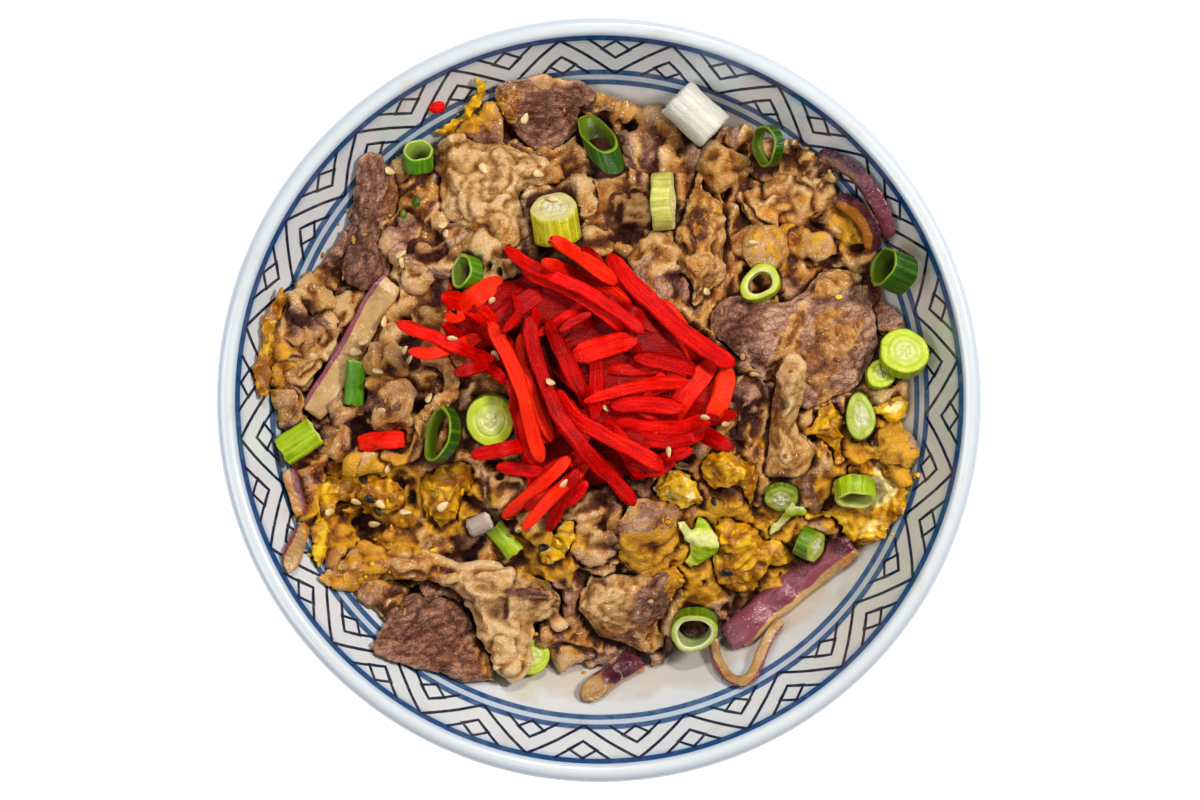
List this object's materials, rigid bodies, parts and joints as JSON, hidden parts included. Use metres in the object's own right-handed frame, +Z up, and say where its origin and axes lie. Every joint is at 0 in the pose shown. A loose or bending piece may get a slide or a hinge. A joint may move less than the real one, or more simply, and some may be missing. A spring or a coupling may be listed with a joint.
{
  "type": "bowl of gyudon",
  "caption": "Footed porcelain bowl with a zigzag-patterned rim, heaped with sliced beef, egg, red onion, spring onion rings, sesame seeds and a mound of red pickled ginger.",
  "frame": {"origin": "centre of the foot's underside, on the table", "axes": "+Z up along the bowl's axis, +Y towards the top of the picture, +X to its right"},
  "size_m": [0.2, 0.2, 0.0878],
  "materials": {
    "porcelain": "glazed white with a blue painted band",
    "beef_lean": "moist cooked lean beef",
    "beef_fat": "moist cooked beef fat",
    "egg": "soft set egg",
    "red_onion": "cooked red onion",
    "spring_onion": "fresh cut spring onion",
    "pickled_ginger": "wet red pickled ginger"
  },
  "bodies": {
    "root": {"bowl": "porcelain", "beef_heap": "beef_lean", "beef_dark_slice": "beef_lean", "beef_fat_ridge": "beef_fat", "beef_folded_slice": "beef_fat", "beef_golden_loop": "beef_fat", "beef_golden_ruffle": "beef_fat", "beef_hook_fold": "beef_fat", "beef_left_ruffle": "beef_fat", "beef_long_slice": "beef_lean", "beef_pale_slice": "beef_fat", "beef_tall_slice": "beef_lean", "beef_top_slice": "beef_lean", "beef_wavy_slice": "beef_fat", "egg_by_ginger": "egg", "egg_golden_knob": "egg", "egg_left_edge": "egg", "egg_left_large": "egg", "egg_right_drape": "egg", "egg_right_fold": "egg", "egg_right_glossy": "egg", "egg_right_large": "egg", "egg_right_ruffle": "egg", "egg_striped": "egg", "egg_top_left": "egg", "ginger_stub": "pickled_ginger", "pickled_ginger": "pickled_ginger", "onion_inner_arc": "red_onion", "onion_left_lower": "red_onion", "onion_left_upper": "red_onion", "onion_long_band": "red_onion", "onion_long_strip": "red_onion", "onion_loop": "red_onion", "onion_outer_arc": "red_onion", "onion_pink_piece": "red_onion", "spring_onion_cupped_ring": "spring_onion", "spring_onion_curled_sprig": "spring_onion", "spring_onion_dark_tube": "spring_onion", "spring_onion_flat_strip": "spring_onion", "spring_onion_green_stub": "spring_onion", "spring_onion_half_hidden": "spring_onion", "spring_onion_half_ring": "spring_onion", "spring_onion_left_tube": "spring_onion", "spring_onion_lime_disc": "spring_onion", "spring_onion_lime_strip": "spring_onion", "spring_onion_lime_tube": "spring_onion", "spring_onion_open_ring": "spring_onion", "spring_onion_oval_slice": "spring_onion", "spring_onion_pale_disc": "spring_onion", "spring_onion_pressed_tube": "spring_onion", "spring_onion_round_disc": "spring_onion", "spring_onion_slant_ring": "spring_onion", "spring_onion_slant_tube": "spring_onion", "spring_onion_thin_sprig": "spring_onion", "spring_onion_under_disc": "spring_onion", "spring_onion_upper_ring": "spring_onion", "spring_onion_white_chunk": "spring_onion", "spring_onion_white_stub": "spring_onion", "spring_onion_wide_ring": "spring_onion", "spring_onion_yellow_tube": "spring_onion"}
  },
  "joints": []
}
